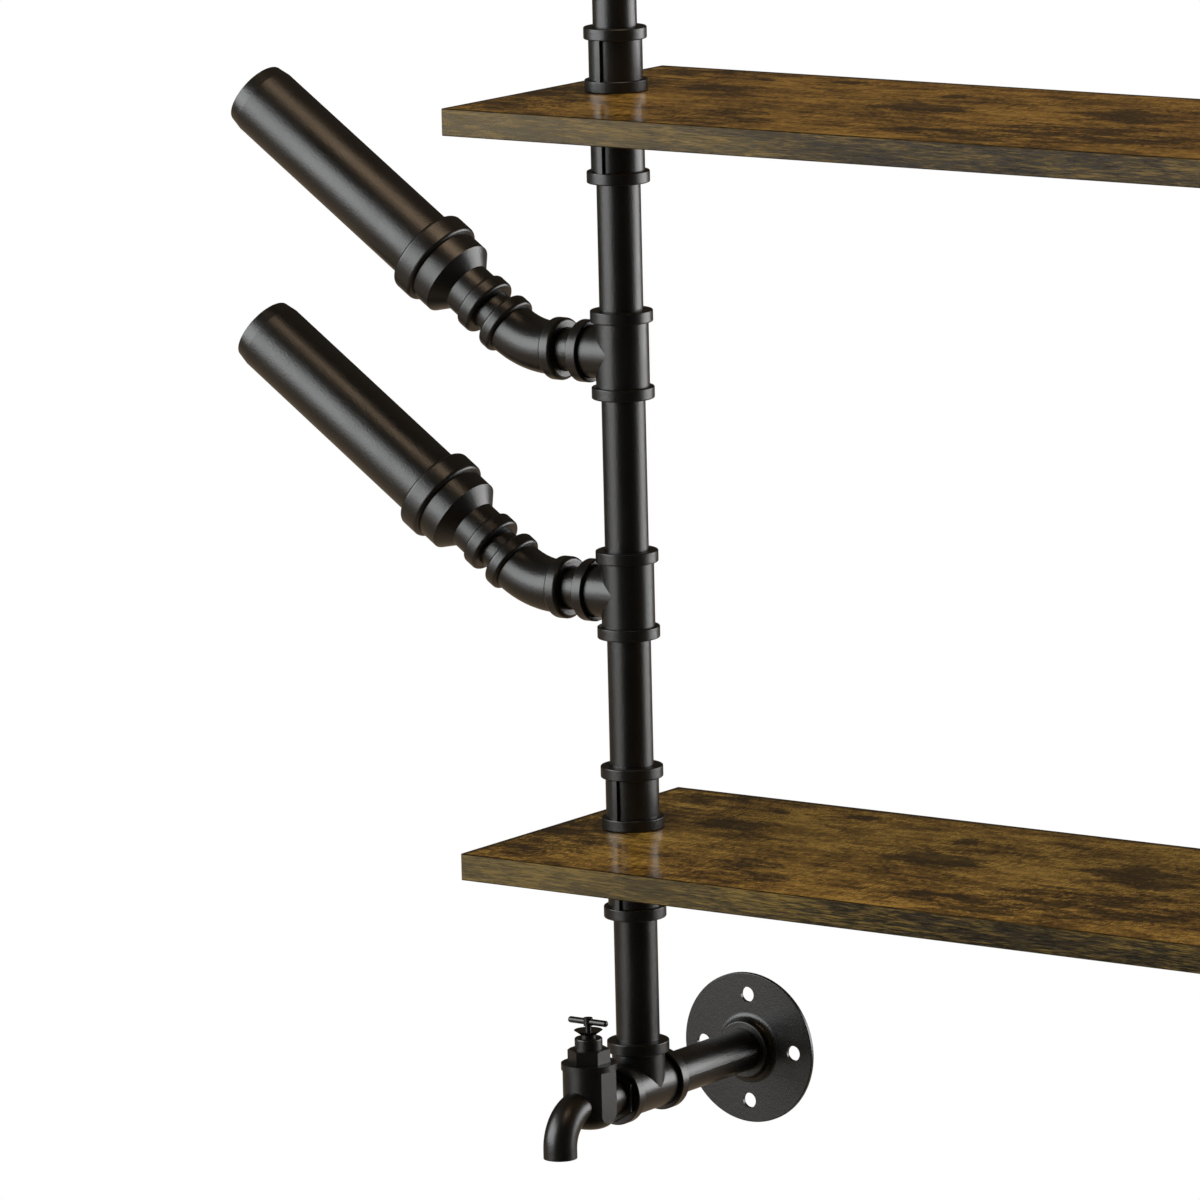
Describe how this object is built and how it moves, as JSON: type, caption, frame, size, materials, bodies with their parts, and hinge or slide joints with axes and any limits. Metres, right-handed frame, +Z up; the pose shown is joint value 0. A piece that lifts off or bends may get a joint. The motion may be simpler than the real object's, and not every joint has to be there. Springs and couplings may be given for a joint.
{
  "type": "wall-mounted bar shelf",
  "caption": "Two-board wall shelf on black iron pipe posts with tilted bottle tubes on side branches and bib taps with turning T handles at the feet.",
  "frame": {"origin": "in the wall plane, at the centre of the four inner flange screws", "axes": "+X to the right along the boards, +Y into the wall, +Z up"},
  "size_m": [1.6766, 0.235, 0.8534],
  "materials": {
    "board": "satin rustic laminate, streaky brown",
    "pipe": "satin black paint on steel pipe",
    "fitting": "satin black paint over cast iron",
    "tap": "satin black paint over a casting",
    "spindle": "satin black paint on turned steel",
    "valve": "turned",
    "washer": "matte"
  },
  "bodies": {
    "root": {"upper_board": "board", "lower_board": "board", "board_nipples": "pipe", "foot_pipes": "pipe", "wall_pipes": "pipe", "branch_nipples": "pipe", "coupling_on_upper_left": "fitting", "coupling_under_upper_left": "fitting", "upper_branch_tee_left": "fitting", "upper_elbow_left": "fitting", "upper_reducer_left": "fitting", "upper_bottle_tube_left": "pipe", "upper_flange_left": "fitting", "coupling_on_lower_left": "fitting", "coupling_under_lower_left": "fitting", "lower_branch_tee_left": "fitting", "lower_elbow_left": "fitting", "lower_reducer_left": "fitting", "lower_bottle_tube_left": "pipe", "lower_flange_left": "fitting", "post_pipe_lower_left": "pipe", "post_pipe_middle_left": "pipe", "post_pipe_upper_left": "pipe", "head_pipe_left": "pipe", "bottom_tee_left": "fitting", "top_elbow_left": "fitting", "tap_body_left": "tap", "tap_bonnet_left": "tap", "tap_gland_nut_left": "tap", "coupling_on_upper_right": "fitting", "coupling_under_upper_right": "fitting", "upper_branch_tee_right": "fitting", "upper_elbow_right": "fitting", "upper_reducer_right": "fitting", "upper_bottle_tube_right": "pipe", "upper_flange_right": "fitting", "coupling_on_lower_right": "fitting", "coupling_under_lower_right": "fitting", "lower_branch_tee_right": "fitting", "lower_elbow_right": "fitting", "lower_reducer_right": "fitting", "lower_bottle_tube_right": "pipe", "lower_flange_right": "fitting", "post_pipe_lower_right": "pipe", "post_pipe_middle_right": "pipe", "post_pipe_upper_right": "pipe", "head_pipe_right": "pipe", "bottom_tee_right": "fitting", "top_elbow_right": "fitting", "tap_body_right": "tap", "tap_bonnet_right": "tap", "tap_gland_nut_right": "tap"},
    "jumper_left": {"tap_jumper_left": "valve", "tap_washer_left": "washer"},
    "spindle_left": {"tap_spindle_left": "spindle", "tap_handle_bar_left": "spindle"},
    "jumper_right": {"tap_jumper_right": "valve", "tap_washer_right": "washer"},
    "spindle_right": {"tap_spindle_right": "spindle", "tap_handle_bar_right": "spindle"}
  },
  "joints": [
    {"name": "tap_lift_left", "type": "slide", "parent": "root", "child": "jumper_left", "axis": [0, 0, 1], "range_m": [0, 0.004]},
    {"name": "tap_turn_left", "type": "hinge", "parent": "jumper_left", "child": "spindle_left", "pos_m": [-0.5535, -0.1725, -0.3792], "axis": [0, 0, 1], "range_deg": [0, 720]},
    {"name": "tap_lift_right", "type": "slide", "parent": "root", "child": "jumper_right", "axis": [0, 0, 1], "range_m": [0, 0.004]},
    {"name": "tap_turn_right", "type": "hinge", "parent": "jumper_right", "child": "spindle_right", "pos_m": [0.5535, -0.1725, -0.3792], "axis": [0, 0, 1], "range_deg": [0, 720]}
  ],
  "couplings": [
    {"joint": "tap_turn_left", "follows": "tap_lift_left", "rad_per_m": 3141.6},
    {"joint": "tap_turn_right", "follows": "tap_lift_right", "rad_per_m": 3141.6}
  ]
}
